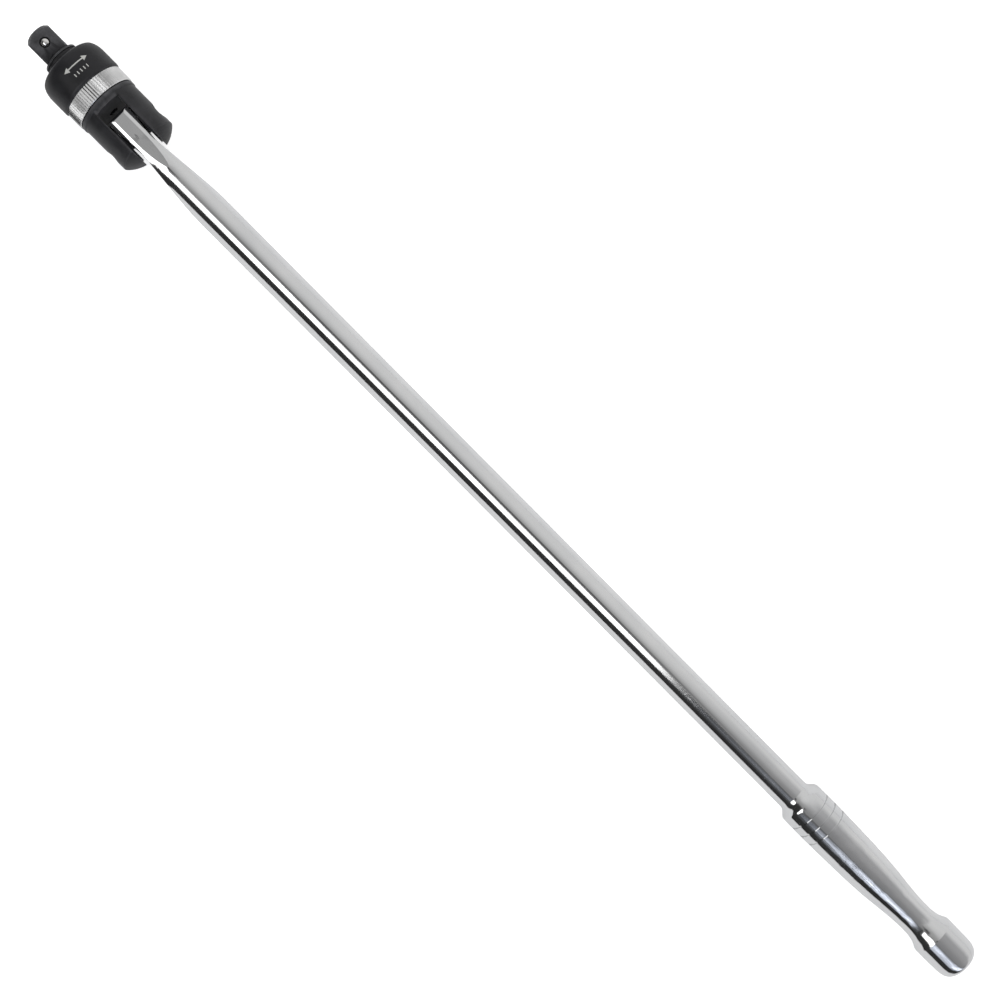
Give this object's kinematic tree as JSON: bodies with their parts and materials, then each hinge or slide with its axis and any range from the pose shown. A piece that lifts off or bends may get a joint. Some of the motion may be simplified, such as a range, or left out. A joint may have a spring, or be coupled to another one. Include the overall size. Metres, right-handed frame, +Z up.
{
  "type": "ratcheting breaker bar",
  "caption": "Long chromed breaker bar with a swivelling black fork head, knurled reversing ring and square socket drive.",
  "frame": {"origin": "middle of the tool's length, on its centre line, on the surface that it lies on", "axes": "+X along the tool from the drive square to the grip, +Y along the pivot pin towards the spot-faced ear, +Z up through the open sides of the fork's slot"},
  "size_m": [0.6, 0.0324, 0.0324],
  "materials": {
    "chrome": "mirror chrome plate on forged steel",
    "black_oxide": "satin black oxide on steel",
    "pin_black": "satin black oxide on steel",
    "satin_nickel": "satin nickel plate, straight serrations",
    "hardened_steel": "ground, hardened steel",
    "spring_steel": "drawn spring wire",
    "bright_steel": "polished bearing ball",
    "bronze": "machined bearing bronze",
    "seal_rubber": "matt nitrile rubber"
  },
  "bodies": {
    "bar": {"bar": "chrome"},
    "head": {"fork_head": "black_oxide", "pivot_pin": "pin_black", "pivot_washers": "pin_black", "flex_plunger_spring": "spring_steel", "front_housing": "black_oxide", "housing_snap_ring": "spring_steel", "dust_seal": "seal_rubber", "spindle_bushing": "bronze", "thrust_washer": "bronze", "pawl_pins": "hardened_steel", "pawl_spring": "spring_steel", "ring_detent_ball": "bright_steel", "ring_detent_spring": "spring_steel"},
    "drive": {"drive_spindle": "black_oxide", "drive_ball_spring": "spring_steel"},
    "socket_ball": {"drive_ball": "bright_steel"},
    "reversing_ring": {"knurled_ring": "satin_nickel", "selector_key": "hardened_steel"},
    "right_pawl": {"pawl_right": "hardened_steel"},
    "left_pawl": {"pawl_left": "hardened_steel"},
    "plunger": {"flex_plunger": "pin_black"}
  },
  "joints": [
    {"name": "head_pivot", "type": "hinge", "parent": "bar", "child": "head", "pos_m": [-0.2372, 0, 0.0162], "axis": [0, 1, 0], "range_deg": [-100, 100]},
    {"name": "drive_spin", "type": "hinge", "parent": "head", "child": "drive", "pos_m": [-0.28, 0, 0.0162], "axis": [-1, 0, 0], "continuous": true},
    {"name": "ring_turn", "type": "hinge", "parent": "head", "child": "reversing_ring", "pos_m": [-0.26, 0, 0.0162], "axis": [1, 0, 0], "range_deg": [-24, 0]},
    {"name": "right_pawl_rock", "type": "hinge", "parent": "head", "child": "right_pawl", "pos_m": [-0.2595, 0.00711, 0.02599], "axis": [1, 0, 0], "range_deg": [0, 8]},
    {"name": "left_pawl_rock", "type": "hinge", "parent": "head", "child": "left_pawl", "pos_m": [-0.2595, -0.00711, 0.02599], "axis": [1, 0, 0], "range_deg": [0, 8]},
    {"name": "ball_press", "type": "slide", "parent": "drive", "child": "socket_ball", "axis": [0, 0, -1], "range_m": [0, 0.0011], "stiffness_N_per_m": 800, "deforming": ["drive_ball_spring"]},
    {"name": "plunger_press", "type": "slide", "parent": "head", "child": "plunger", "axis": [-1, 0, 0], "range_m": [0, 0.0008], "stiffness_N_per_m": 1500}
  ],
  "couplings": [
    {"joint": "right_pawl_rock", "follows": "ring_turn", "ratio": -0.33333},
    {"joint": "left_pawl_rock", "follows": "ring_turn", "ratio": -0.33333}
  ]
}
